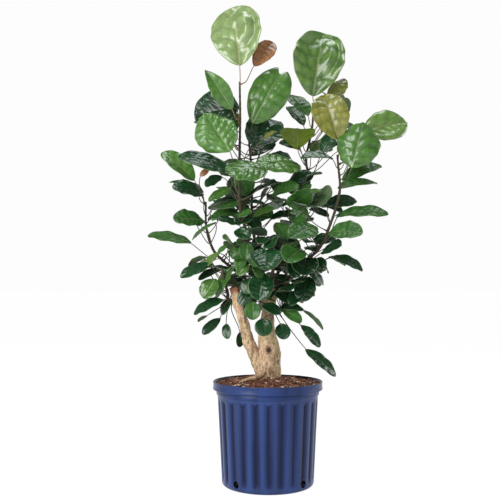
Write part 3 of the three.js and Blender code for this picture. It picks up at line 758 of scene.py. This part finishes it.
# Smaller leaves between the CAD's, in millimetres: base of the blade, blade, width, facing, skin.
SMALL_LEAVES = (
    ((178, 20, 904), (25, 15, 46), 42, (-0.3, 0.9, 0.2), "mid"),
    ((136, 10, 813), (29, 10, 46), 38, (-0.2, -0.9, 0.3), "dark"),
    ((-9, 5, 845), (32, -5, 17), 28, (-0.2, -0.5, 0.8), "olive"),
    ((-165, 0, 752), (20, 0, 16), 16, (0.2, -0.9, 0.3), "bronze"),
    ((-116, 10, 750), (-37, -15, -25), 36, (-0.2, -0.7, 0.6), "dark"),
    ((-94, -10, 717), (-50, -10, -30), 34, (-0.1, -0.7, 0.7), "bright"),
    ((-126, 10, 657), (-22, 10, -14), 16, (0, 0.3, 0.9), "mid"),
    ((-131, 0, 634), (-56, -5, -40), 34, (-0.5, -0.3, 0.8), "mid"),
    ((-66, -5, 682), (-52, -10, -12), 38, (0, -0.5, 0.85), "mid"),
    ((-86, 15, 695), (-52, 10, -12), 38, (0, -0.4, 0.9), "dark"),
    ((-42, -20, 652), (-37, -25, -20), 42, (-0.1, -0.75, 0.6), "dark"),
    ((-40, -10, 647), (56, -10, 24), 34, (-0.2, -0.5, 0.8), "bright"),
    ((-45, 5, 711), (-20, 5, 24), 32, (0.1, -0.8, 0.5), "dark"),
    ((-42, 10, 708), (84, 0, 32), 44, (-0.2, -0.3, 0.9), "dark"),
    ((16, -5, 703), (60, -10, 27), 46, (-0.1, -0.6, 0.7), "mid"),
    ((72, 0, 698), (60, -10, 17), 32, (0, -0.5, 0.8), "bright"),
    ((97, 20, 750), (40, 10, 12), 30, (0, 0.2, 1), "mid"),
    ((40, 10, 679), (82, -10, 20), 52, (0, -0.4, 0.9), "dark"),
    ((13, 20, 647), (62, 10, 15), 46, (0, -0.4, 0.9), "dark"),
    ((21, -10, 632), (27, -15, -38), 42, (0.2, -0.8, 0.5), "mid"),
    ((153, 0, 551), (38, -5, -20), 28, (0.2, -0.4, 0.9), "mid"),
    ((136, 10, 539), (15, 5, -28), 26, (0.9, -0.1, 0.4), "dark"),
    ((92, -15, 470), (-40, -15, -35), 40, (-0.3, -0.6, 0.7), "dark"),
    ((84, 10, 470), (22, 5, -20), 22, (0.3, -0.5, 0.8), "dark"),
    ((-43, -15, 470), (-25, -15, -34), 36, (-0.1, -0.9, 0.3), "dark"),
    ((-38, -30, 440), (2, -15, -40), 40, (0, -0.95, 0.3), "mid"),
    ((-11, -25, 434), (42, -15, -18), 32, (0.1, -0.7, 0.6), "dark"),
    ((33, -10, 429), (55, -15, -5), 34, (0, -0.5, 0.85), "dark"),
    ((40, -20, 422), (40, -20, -28), 32, (0.2, -0.8, 0.5), "mid"),
    ((89, 0, 419), (47, 0, -45), 30, (0.5, 0.3, 0.8), "mid"),
    ((31, -20, 387), (10, -15, -34), 38, (0.1, -0.9, 0.3), "dark"),
    ((-13, -35, 400), (5, -20, -38), 44, (0, -0.85, 0.4), "dark"),
    ((-50, -10, 573), (-38, -15, -25), 42, (-0.2, -0.8, 0.5), "mid"),
    ((-55, -20, 549), (-23, -10, -25), 32, (-0.2, -0.8, 0.5), "mid"),
    ((-102, 0, 578), (-20, 0, -16), 20, (-0.1, -0.6, 0.8), "mid"),
    ((-153, 10, 551), (-44, 10, -20), 28, (-0.2, 0.4, 0.9), "mid"),
    ((-121, -5, 561), (-32, -10, -35), 34, (-0.5, -0.5, 0.7), "grass"),
    ((-119, 10, 520), (-52, -10, -22), 34, (-0.1, -0.5, 0.85), "dark"),
    ((-129, -20, 495), (-25, -20, -44), 48, (-0.2, -0.8, 0.5), "bright"),
    ((-85, -10, 524), (-42, -10, -70), 40, (-0.6, -0.6, 0.5), "mid"),
    ((-50, -25, 534), (-22, -15, -28), 30, (-0.1, -0.8, 0.5), "bright"),
    ((-150, 10, 407), (-22, 5, -15), 16, (0, 0.4, 0.9), "mid"),
    ((-92, 0, 446), (-20, -10, -35), 30, (-0.5, -0.7, 0.4), "dark"),
    ((-119, 0, 399), (-40, -5, -36), 36, (-0.3, -0.6, 0.7), "dark"),
    ((-102, 10, 385), (4, -10, -34), 24, (-0.3, -0.9, 0.3), "dark"),
    ((-68, 45, 362), (0, 5, -36), 22, (0.2, -0.9, 0.3), "dark"),
    ((-38, 45, 842), (28, 20, 74), 62, (0.1, -0.95, 0.2), "dark"),
    ((-4, 40, 836), (42, 10, 50), 44, (-0.2, -0.9, 0.3), "dark"),
    ((-38, 20, 828), (56, 5, 16), 36, (0, -0.6, 0.8), "dark"),
    ((78, 25, 822), (-48, 10, 18), 38, (0, -0.6, 0.8), "dark"),
    ((-90, 35, 868), (14, 10, 48), 34, (0, -0.9, 0.3), "mid"),
    ((55, 30, 800), (-50, 10, 12), 40, (0.1, -0.5, 0.8), "dark"),
    ((-40, 30, 690), (44, 15, -12), 36, (0, -0.4, 0.9), "dark"),
    ((62, 30, 735), (52, 15, 30), 46, (-0.1, -0.8, 0.5), "dark"),
    ((-20, 35, 622), (-30, 10, 34), 36, (0.1, -0.8, 0.5), "dark"),
    ((60, 20, 640), (38, -10, 30), 50, (-0.1, -0.8, 0.5), "mid"),
    ((150, 25, 655), (-46, 10, 18), 40, (0, -0.5, 0.9), "dark"),
    ((165, 10, 600), (-50, -10, -10), 44, (0, -0.6, 0.8), "dark"),
    ((-78, -42, 612), (36, -14, -14), 36, (0.1, -0.8, 0.5), "dark"),
    ((-50, -48, 582), (-4, -16, -38), 36, (0, -0.9, 0.4), "mid"),
    ((-72, -44, 648), (34, -10, 10), 30, (0, -0.6, 0.8), "mid"),
)

CROWN_SEED = 5
BACK_LEAVES = 90
TRIES_PER_LEAF = 150
CROWN_GAP = 2.5 * MM         # least gap between a seeded leaf's blade and its neighbours
CROWN_GRAIN = 3.0 * MM       # spacing of a seeded blade's vertices
CROWN_FOOT, CROWN_RISE = 350, 700    # millimetres, from the crown's foot to where its leaves are largest
LOW_LENGTH, LENGTH_GAIN = 46, 52     # of a leaf at the back: at the foot, and how much more at the top
CROWN_LOW = CAD_LOW + Vector((0.01, 0.01, 0.34))
CROWN_HIGH = CAD_HIGH - Vector((0.01, 0.006, 0.03))
# Dense parts of the crown, in millimetres: half is half the zone's size, rises how steeply its blades rise.
ZONES = {
    "heart": dict(count=90, centre=(8, 25, 532), half=(118, 95, 88), lengths=(38, 58), rises=(-0.9, 0.2),
                  skins=("dark", "dark", "dark", "mid")),
    "middle": dict(count=26, centre=(22, 40, 680), half=(125, 75, 66), lengths=(50, 76), rises=(-0.25, 0.4),
                   skins=("mid", "mid", "dark", "dark")),
}
EYE = Vector((-0.04, -2.0, 0.5))           # about where the camera stands
STUMP_CLEARANCE = Vector((0, 0, 14 * MM))  # room left above the cut stumps, so that they show
ROUGH_SHARES = (0.02, 0.3, 0.6, 0.98)      # where a rough blade has its rows of points
ROUGH_FACES = grid_faces(len(ROUGH_SHARES), 3)


def rough_blade(leaf):
    """Rows of three points that stand for a blade while others look for room."""
    points = []
    for u in ROUGH_SHARES:
        spine = leaf.spine(u)
        half = leaf.width / 2 * math.sin(math.pi * min(max(u, 0.12), 0.88)) ** 0.5
        points += [Vector(spine - leaf.side * half), Vector(spine), Vector(spine + leaf.side * half)]
    return points


def crown_tree(leaves):
    """All rough blades in one tree, for finding what is near."""
    verts, faces = [], []
    for leaf in leaves:
        faces += shifted(ROUGH_FACES, len(verts))
        verts += rough_blade(leaf)
    return BVHTree.FromPolygons(verts, faces)


def random_leaf(rng, name, stems):
    """A leaf in a likely place: outwards from a stem, smaller and more hanging low down."""
    path = stems[rng.choice(sorted(stems))][0]
    joint = path[int(rng.uniform(0.25, 0.97) * (len(path) - 1))]
    heading = rng.uniform(-math.pi, math.pi)
    rise = rng.uniform(0.1, 1.0)
    reach = rng.uniform(30, 85)
    out = np.array((math.cos(heading), math.sin(heading), 0))
    base = joint / MM + out * reach + np.array((0, 0, reach * rise))
    height = np.clip((base[2] - CROWN_FOOT) / CROWN_RISE, 0, 1)
    length = rng.uniform(0.85, 1.2) * (LOW_LENGTH + LENGTH_GAIN * height)
    lean = rng.uniform(-0.5, 0.5) + 0.5 * (height - 0.5)
    blade = (out + np.array((rng.uniform(-0.5, 0.5), rng.uniform(-0.5, 0.5), lean)))
    blade = blade / np.linalg.norm(blade) * length
    faces = np.array((out[0] * 0.6, out[1] * 0.6 - 0.15, 0.7)) + [rng.uniform(-0.3, 0.3) for _ in range(3)]
    return leaf_at(name, stems, base, blade, length * rng.uniform(0.68, 0.85), faces)


def zone_leaf(rng, name, stems, zone):
    """A leaf in a dense part of the crown, facing outwards."""
    while True:
        spot = np.array([rng.uniform(-1, 1) for _ in range(3)])
        if np.linalg.norm(spot) < 1:
            break
    base = np.array(zone["centre"]) + spot * np.array(zone["half"])
    heading = math.atan2(spot[1] - 0.2, spot[0]) + rng.uniform(-0.9, 0.9)
    out = np.array((math.cos(heading), math.sin(heading), 0))
    length = rng.uniform(*zone["lengths"])
    blade = out * rng.uniform(0.3, 1.0) + np.array((0, 0, rng.uniform(*zone["rises"])))
    blade = blade / np.linalg.norm(blade) * length
    faces = out * 0.8 + np.array([rng.uniform(-0.4, 0.4), rng.uniform(-0.5, 0.2), rng.uniform(0.2, 0.8)])
    return leaf_at(name, stems, base, blade, length * rng.uniform(0.75, 0.95), faces)


def crosses(path, tree):
    """Whether a petiole's line runs through a blade."""
    steps = [(Vector(a), Vector(b - a)) for a, b in zip(path, path[1:])]
    return any(tree.ray_cast(start, step, step.length)[0] for start, step in steps)


def fits(leaf, tree, spots, leaves):
    """Whether a new leaf stays inside the crown and clear of the other leaves."""
    inside = all(CROWN_LOW[k] < p[k] < CROWN_HIGH[k] for p in spots for k in range(3))
    if not inside or any(tree.find_nearest(p)[3] < CROWN_GAP for p in spots):
        return False
    blade = BVHTree.FromPolygons(spots, ROUGH_FACES)
    if tree.overlap(blade) or crosses(leaf.petiole, tree):
        return False
    return not any(crosses(other.petiole, blade) for other in leaves)


def grow_crown(stems, leaves):
    """Fills the dense parts of the crown and its back with leaves, and leaves its open places open."""
    rng = random.Random(CROWN_SEED)
    trunk = tree_of(NODES["trunk"].data)
    groups = {}
    for kind, zone in [*ZONES.items(), ("back", None)]:
        wanted = zone["count"] if zone else BACK_LEAVES
        grown = 0
        tree = crown_tree(leaves)
        for _ in range(wanted * TRIES_PER_LEAF):
            name = f"{kind}_leaf_{grown + 1}"
            leaf = zone_leaf(rng, name, stems, zone) if zone else random_leaf(rng, name, stems)
            if grown == wanted:
                break
            spots = rough_blade(leaf)
            if not fits(leaf, tree, spots, leaves):
                continue
            hidden = sum(1 for p in spots if tree.ray_cast(p + (EYE - p) * 0.001, EYE - p)[0])
            if not zone and hidden < len(spots):
                continue
            lowered = spots + [p - STUMP_CLEARANCE for p in spots]
            if hidden < len(spots) / 2 and any(trunk.ray_cast(p, p - EYE)[0] for p in lowered):
                continue
            leaves.append(leaf)
            tree = crown_tree(leaves)
            skin = rng.choice(zone["skins"]) if zone else look_of(leaf)[0]
            groups.setdefault((kind, skin), []).append(leaf_parts(leaf, {}, rng.random(), CROWN_GRAIN))
            grown += 1
    for (kind, skin), parts in sorted(groups.items()):
        join_leaves(f"{kind}_{skin}_leaves", skin, parts)


def grow_small_leaves(stems):
    """The leaves of SMALL_LEAVES, each a piece of its own."""
    grown = []
    for index, (base, blade, width, faces, skin) in enumerate(SMALL_LEAVES, 1):
        leaf = leaf_at(f"small_leaf_{index}", stems, base, blade, width, faces)
        grow_leaf(leaf, skin, {}, (index * 0.37) % 1.0)
        grown.append(leaf)
    return grown


# ---- stems

STEM_SIDES = 12
JOINT_SPACING = 16 * MM
JOINT_LENGTH = 2.4 * MM


def grow_stem(node, skin):
    """A stem with the slight swellings of its leaf joints; returns its line and radii."""
    centres, radii = stem_line(node)
    length = np.linalg.norm(np.diff(centres, axis=0), axis=1).sum()
    count = max(30, int(length / (3.5 * MM)))
    path = smooth_path(centres, count)
    share = np.linspace(0, 1, count)
    base_radius = np.interp(share, np.linspace(0, 1, len(radii)), radii)
    rng = random.Random(node)
    swelling = np.zeros(count)
    for joint in np.arange(0.05, 1.0, JOINT_SPACING / length):
        place = joint + rng.uniform(-0.3, 0.3) * JOINT_SPACING / length
        swelling += rng.uniform(0.1, 0.22) * np.exp(-((share - place) * length / JOINT_LENGTH) ** 2)
    wander = np.array([[noise.noise(Vector((s * 9, k * 7.0, len(node)))) for k in range(3)] for s in share])
    path = path + wander * (1.2 * MM) * np.sin(math.pi * share)[:, None]
    verts, faces = tube(path, base_radius * (1 + swelling), STEM_SIDES)
    young = np.concatenate([np.repeat(share ** 2, STEM_SIDES), [0, 1]])
    piece = make_mesh(f"{node}_bark", verts, faces, {"young": young})
    finish_piece(piece, "stem", [skin], node)
    return path, base_radius


# ---- trunk

KNOT_SIZE = 7 * MM
KNOT_HEIGHT = 72 * MM                      # above the mix
CUT_DEPTH = 24 * MM                        # how far below the tallest cut the red-brown reaches
CUT_FADE = 14 * MM
ROOT_BENDS = ((-4, -6, 278), (-16, -20, 267), (-32, -30, 261), (-46, -40, 259), (-68, -54, 253))
ROOT_STEPS = 34


def swell_bark(point):
    """How far the bark stands out at a point: broad lumps, ridges along the grain, fine grit and pits."""
    broad = noise.noise(point * 28)
    ridges = noise.noise(Vector((point.x * 150, point.y * 150, point.z * 36)))
    grit = noise.noise(point * 420)
    pits = max(0.0, noise.noise(point * 95 + Vector((7, 3, 1))) - 0.25)
    return MM * (3.4 * broad + 1.8 * ridges + 0.6 * grit - 6.0 * pits)


def rounded_wood():
    """The trunk's CAD solid as an evenly meshed, softened piece."""
    piece = add_object("trunk_wood", NODES["trunk"].data.copy())
    remesh = piece.modifiers.new("remesh", "REMESH")
    remesh.mode = "VOXEL"
    remesh.voxel_size = 1.8 * MM
    piece.modifiers.new("soften", "SMOOTH").iterations = 8
    apply_modifiers(piece)
    return piece


def grow_trunk():
    """The trunk's solid, rounded into living wood, with bark relief, a knot hole and healed cuts."""
    piece = rounded_wood()
    mesh = piece.data
    low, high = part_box("trunk")
    wanted = Vector((-4 * MM, low.y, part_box("potting_mix")[1].z + KNOT_HEIGHT))
    knot = min((v.co for v in mesh.vertices), key=lambda p: (p - wanted).length).copy()
    cut, hollow, moved = [], [], []
    for vertex in mesh.vertices:
        point, normal = vertex.co.copy(), vertex.normal.copy()
        at_top = point.z > high.z - 30 * MM and normal.z > 0.75
        to_knot = (point - knot).length
        near_knot = math.exp(-(to_knot / KNOT_SIZE) ** 2)
        lips = math.exp(-((to_knot - 2.1 * KNOT_SIZE) / (0.7 * KNOT_SIZE)) ** 2)
        push = swell_bark(point) * (0.3 if at_top else 1.0)
        push += (3.5 * lips - 7.0 * near_knot) * MM
        moved.append(point + normal * push)
        band = (point.z - high.z + CUT_DEPTH) / CUT_FADE + 0.8 * noise.noise(point * 90)
        cut.append(1.0 if at_top else 0.9 * min(1.0, max(0.0, band)))
        # Painted shade, strongest in the knot hole and in the deepest pits of the bark relief.
        hollow.append(min(1.0, max(0.0, near_knot * 1.6, -push / (5 * MM))))
    for vertex, place in zip(mesh.vertices, moved):
        vertex.co = place
    mark_points(mesh, {"cut": cut, "hollow": hollow})
    set_smooth(mesh, smooth=True)
    mesh.materials.clear()
    skin = trunk_bark()
    finish_piece(piece, "bark", [skin], "trunk")
    grow_root(skin)


def grow_root(skin):
    """The pale surface root that runs out over the mix from the trunk's foot."""
    path = smooth_path(np.array(ROOT_BENDS) * MM, ROOT_STEPS)
    share = np.linspace(0, 1, ROOT_STEPS)
    knobs = np.array([1 + 0.25 * noise.noise(Vector((9 * s, 3, 2))) for s in share])
    verts, faces = tube(path, (7.5 - 5.3 * share) * knobs * MM, 12)
    none = np.zeros(len(verts))
    piece = make_mesh("surface_root", verts, faces, {"cut": none, "hollow": none})
    finish_piece(piece, "bark", [skin])


# ---- pot

FLUTES = 24
FLUTE_STEPS = 12
GROOVE = 4.0 * MM            # how deep the wall is drawn in between two flutes
WALL = 2 * MM
WALL_STEPS = (0.03, 0.06, 0.1, 0.2, 0.4, 0.6, 0.8, 0.86, 0.9, 0.92, 0.94, 0.955, 0.97, 0.985)
LIP_HEIGHT = 20 * MM         # the upper, widest step of the rim
RIM_HEIGHT = 32 * MM         # both steps
BAND_INSET = 8.5 * MM        # from the lip in to the lower step
SHOULDER_INSET = 11 * MM     # from the lip in to the top of the wall
HEEL_INSET = 22 * MM         # from the lip in to the foot of the wall
CORNER = 9 * MM              # radius of the bottom corner
BASE_LIFT = 2.5 * MM         # of the underside's hollow middle
FLOOR = 4.5 * MM
DRAINS = 4
DRAIN_RADIUS = 9 * MM
DRAIN_HEIGHT = 18 * MM
DRAIN_INSET = 24 * MM
DRAIN_TURN = math.radians(47)
DRILL_REACH = 14 * MM


def arc(centre, radius, start, end, steps):
    """Points of a circular arc in the profile plane, angles in degrees from the outward axis."""
    angles = np.radians(np.linspace(start, end, steps))
    return [(centre[0] + radius * math.cos(a), centre[1] + radius * math.sin(a)) for a in angles]


def pot_profile():
    """The pot's section as (radius, height): its outside from the base up, then its inside down."""
    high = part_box("pot")[1]
    rim, top = high.x, high.z
    shoulder, band, heel = rim - SHOULDER_INSET, rim - BAND_INSET, rim - HEEL_INSET
    lip_low, band_low = top - LIP_HEIGHT, top - RIM_HEIGHT
    outside = [(heel * 0.8, BASE_LIFT), (heel * 0.84, 0.0), (heel - 8 * MM, 0.0)]
    outside += arc((heel - CORNER, CORNER), CORNER, -75, 0, 7)
    wall = [(heel + (shoulder - heel) * share, CORNER + (band_low - CORNER) * share) for share in WALL_STEPS]
    outside += wall
    outside.append((shoulder, band_low - 1 * MM))
    outside += arc((band - 1.5 * MM, band_low + 1.5 * MM), 1.5 * MM, -80, 0, 4)
    outside += arc((band - 1.5 * MM, lip_low - 2 * MM), 1.5 * MM, 0, 80, 4)
    outside += arc((rim - 2 * MM, lip_low + 2 * MM), 2 * MM, -80, 0, 4)
    outside += [(rim - 0.6 * MM, lip_low + 6 * MM), (rim - 0.8 * MM, top - 7 * MM)]
    outside += arc((rim - 1.6 * MM, top - 1.8 * MM), 1.6 * MM, -30, 90, 6)
    inside = [(rim - 3.2 * MM, top - 1 * MM), (rim - 3.2 * MM, lip_low + 3 * MM),
              (band - WALL, lip_low + 2 * MM), (band - WALL, band_low + 3 * MM),
              (shoulder - WALL, band_low)]
    inside += [(radius - WALL, height) for radius, height in reversed(wall)]
    inside.append((heel - 10 * MM, FLOOR))
    return outside, inside


def flute_depth(angle, height, low, high):
    """How far the wall is drawn in: sharp grooves between broad rounded flutes with arched tops."""
    turn = (angle / (2 * math.pi) * FLUTES) % 1.0
    off_crest = abs(turn - 0.5) * 2
    arch = high - 7 * MM * off_crest ** 2
    full = np.clip((arch - height) / (5 * MM), 0, 1) * np.clip((height - low) / (12 * MM), 0, 1)
    return GROOVE * (0.8 * off_crest ** 2 + 0.2 * off_crest ** 8) * full


def make_pot():
    """The pot's shell: its section turned about the axis, with the flutes drawn in and the drains cut."""
    outside, inside = pot_profile()
    rows, columns = outside + inside, FLUTES * FLUTE_STEPS
    low, high = 12 * MM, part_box("pot")[1].z - 35 * MM
    verts, groove = [], []
    for radius, height in rows:
        fluted = 9 * MM <= height < high
        for angle in np.linspace(0, 2 * math.pi, columns, endpoint=False):
            depth = flute_depth(angle, height, low, high) if fluted and radius > 50 * MM else 0.0
            verts.append(((radius - depth) * math.cos(angle), (radius - depth) * math.sin(angle), height))
            # Share of the flute's depth, which the plastic paints as shade in the grooves and as a highlight
            # on the crests; 0.3 gives the rim and base a faint painted highlight.
            groove.append((depth / GROOVE) ** 0.5 if fluted else 0.3)
    verts += [(0, 0, BASE_LIFT), (0, 0, FLOOR)]
    faces = [face[::-1] for face in closed_faces(len(rows), columns)]
    inner = [0.0] * (len(outside) * columns) + [1.0] * (len(inside) * columns + 2)
    piece = make_mesh("pot_shell", verts, faces, {"inside": inner, "groove": groove + [0.0, 0.0]})
    drill_holes(piece)
    finish_piece(piece, "pot", [pot_plastic()], "pot")


def drill_holes(piece):
    """The drain holes through the bottom corner."""
    for k in range(DRAINS):
        angle = DRAIN_TURN + k * 2 * math.pi / DRAINS
        out = Vector((math.sin(angle), -math.cos(angle), 0))
        centre = out * (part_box("pot")[1].x - DRAIN_INSET)
        centre.z = DRAIN_HEIGHT
        ends = [np.array(centre + out * d * DRILL_REACH) for d in (-1, 1)]
        verts, faces = tube([ends[0], (ends[0] + ends[1]) / 2, ends[1]], [DRAIN_RADIUS] * 3, 24)
        cutter = make_mesh("drill", verts, faces)
        cut = piece.modifiers.new("drill", "BOOLEAN")
        cut.object = cutter
        cut.operation = "DIFFERENCE"
        cut.solver = "EXACT"
        apply_modifiers(piece)
        bpy.data.objects.remove(cutter)
    set_smooth(piece.data, smooth=True)


# ---- potting mix

MIX_RINGS, MIX_COLUMNS = 44, 150
# The mix's side below its surface, inside the pot's rim and wall: inset and height in millimetres.
MIX_WALL = ((9, 234), (10, 222), (17, 214), (27, 14))
CHIPS = 1500
CHIP_SEED = 11
CHIP_LENGTHS = (3, 4, 5, 6, 8, 11)
CHIP_FACES = [(0, 3, 2, 1), (4, 5, 6, 7), *grid_faces(2, 4, closed=True)]


def mix_surface():
    """A function that gives the CAD mix's height at a place, or None beyond it."""
    tree = tree_of(NODES["potting_mix"].data)
    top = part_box("potting_mix")[1].z

    def height(x, y):
        hit = tree.ray_cast(Vector((x, y, top + 0.1)), Vector((0, 0, -1)))[0]
        return hit.z if hit and hit.z > top - 60 * MM else None

    return height


def make_mix():
    """The mix: a lumpy mound down to the pot's floor, with loose bark chips on top."""
    height = mix_surface()
    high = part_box("potting_mix")[1]
    radius = high.x - 1.2 * MM
    turns = [2 * math.pi * k / MIX_COLUMNS for k in range(MIX_COLUMNS)]
    verts, last = [], high.z
    for ring in range(1, MIX_RINGS + 1):
        r = radius * (ring / MIX_RINGS)
        for turn in turns:
            x, y = r * math.cos(turn), r * math.sin(turn)
            level = height(x, y)
            level = last if level is None else level
            lumps = noise.noise(Vector((x * 70, y * 70, 1))) * 3.0
            grit = noise.noise(Vector((x * 240, y * 240, 5))) * 1.6
            verts.append((x, y, level + (lumps + grit) * MM))
        last = level
    wall = [(radius - inset * MM, level * MM) for inset, level in MIX_WALL]
    verts += [(r * math.cos(turn), r * math.sin(turn), level) for r, level in wall for turn in turns]
    verts += [(0, 0, high.z), (0, 0, wall[-1][1])]
    faces = closed_faces(MIX_RINGS + len(wall), MIX_COLUMNS)
    # The side below the surface takes the painted shade, near black.
    wet = [0.0] * (MIX_RINGS * MIX_COLUMNS) + [1.0] * (len(wall) * MIX_COLUMNS) + [0.0, 1.0]
    piece = make_mesh("potting_mix_mound", verts, faces, {"wet": wet})
    finish_piece(piece, "potting_mix", [mix_material()], "potting_mix")
    scatter_chips(height, radius)


def scatter_chips(height, radius):
    """Loose bark chips: rough little boxes, each with its own size, heading, tilt and shade."""
    rng = random.Random(CHIP_SEED)
    verts, faces, shades = [], [], []
    for _ in range(CHIPS):
        r, a = radius * math.sqrt(rng.uniform(0.02, 0.98)), rng.uniform(0, 2 * math.pi)
        x, y = r * math.cos(a), r * math.sin(a)
        level = height(x, y)
        if level is None:
            continue
        long = rng.choice(CHIP_LENGTHS) * rng.uniform(0.8, 1.2) * MM
        size = Vector((long, long * rng.uniform(0.25, 0.6), long * rng.uniform(0.12, 0.3)))
        heading = rng.uniform(0, math.pi)
        tilt = rng.uniform(-0.5, 0.5)
        c, s = math.cos(heading), math.sin(heading)
        faces += shifted(CHIP_FACES, len(verts))
        for sz in (-1, 1):
            for sx, sy in ((-1, -1), (1, -1), (1, 1), (-1, 1)):
                px = sx * size.x * rng.uniform(0.35, 0.55)
                py = sy * size.y * rng.uniform(0.3, 0.55)
                pz = sz * size.z * rng.uniform(0.4, 0.55) + px * tilt
                verts.append((x + px * c - py * s, y + px * s + py * c, level + 1.0 * MM + pz))
        shades += [rng.random()] * 8
    piece = make_mesh("potting_mix_chips", verts, faces, {"shade": shades})
    set_smooth(piece.data, smooth=False)
    finish_piece(piece, "potting_mix", [chip_material()])


# ---- stage

# Each light's name, place, size, power and colour. All of them face the middle of the plant.
LIGHTS = (
    ("key", (-1.35, -1.9, 1.9), (1.0, 1.9), 58, (1.0, 0.98, 0.95)),
    ("overhead", (0.3, 0.1, 2.9), (1.2, 1.2), 30, (0.95, 0.98, 1.0)),
    ("edge", (1.9, 0.5, 1.0), (0.4, 1.6), 20, (1.0, 1.0, 1.0)),
    ("low", (-1.3, -1.5, 0.45), (0.9, 0.8), 16, (0.95, 0.97, 1.0)),
)
LIGHT_AIM = Vector((0, 0, 0.55))
CAMERA_PLACE = (-0.042, -2.0, 0.5)
CAMERA_TILT = math.radians(92.0)     # from straight down, so a little upwards
CAMERA_LENS = 58.6


def make_studio():
    """A studio that is white near the horizon and darker overhead and behind the camera."""
    world = bpy.data.worlds.new("studio")
    bpy.context.scene.world = world
    world.use_nodes = True
    tree = world.node_tree
    background = tree.nodes["Background"]
    background.inputs["Color"].default_value = (1, 1, 1, 1)
    parts = tree.nodes.new("ShaderNodeSeparateXYZ")
    tree.links.new(tree.nodes.new("ShaderNodeTexCoord").outputs["Generated"], parts.inputs[0])
    dimming = tree.nodes.new("ShaderNodeMath")
    dimming.operation = "MULTIPLY_ADD"
    dimming.inputs[1].default_value = -0.1
    tree.links.new(parts.outputs["Y"], dimming.inputs[0])
    tree.links.new(parts.outputs["Z"], dimming.inputs[2])
    strength = tree.nodes.new("ShaderNodeMapRange")
    for key, value in (("From Min", 0.26), ("From Max", 0.5), ("To Min", 0.98), ("To Max", 0.16)):
        strength.inputs[key].default_value = value
    tree.links.new(dimming.outputs[0], strength.inputs["Value"])
    tree.links.new(strength.outputs["Result"], background.inputs["Strength"])


def make_stage():
    """Plain pale floor, soft studio light and a camera at the front, slightly above the pot."""
    scene = bpy.context.scene
    scene.view_settings.view_transform = "Standard"
    floor = make_mesh("floor", [(-30, -30, 0), (30, -30, 0), (30, 30, 0), (-30, 30, 0)], [(0, 1, 2, 3)])
    g = Graph("pale_floor")
    tint = g.mix(g.ramp(g.noise(1.5), 0.3, 0.7), (0.14, 0.14, 0.14), (0.16, 0.16, 0.16))
    floor.data.materials.append(g.surface(Base_Color=tint, Roughness=0.9, Specular_IOR_Level=0.1,
                                          Emission_Color=(1, 1, 1), Emission_Strength=0.92))
    make_studio()
    for light in LIGHTS:
        add_light(*light)
    camera = add_object("camera", bpy.data.cameras.new("camera"))
    camera.data.sensor_width = 36
    camera.data.lens = CAMERA_LENS
    camera.location = CAMERA_PLACE
    camera.rotation_euler = (CAMERA_TILT, 0, 0)
    scene.camera = camera


def add_light(name, place, size, power, colour):
    """A soft rectangular light that the camera doesn't see."""
    light = add_object(name, bpy.data.lights.new(name, "AREA"))
    light.data.shape = "RECTANGLE"
    light.data.size, light.data.size_y = size
    light.data.energy = power
    light.data.color = colour
    light.visible_camera = False
    light.location = place
    light.rotation_euler = (LIGHT_AIM - light.location).to_track_quat("-Z", "Y").to_euler()


# ---- assembly

make_stage()
make_pot()
make_mix()
grow_trunk()
STEM_SKIN = stem_bark()
STEMS = {node[:-5]: grow_stem(node, STEM_SKIN) for node in sorted(NODES) if node.endswith("_stem")}
LEAVES = grow_cad_leaves() + grow_small_leaves(STEMS)
grow_crown(STEMS, LEAVES)
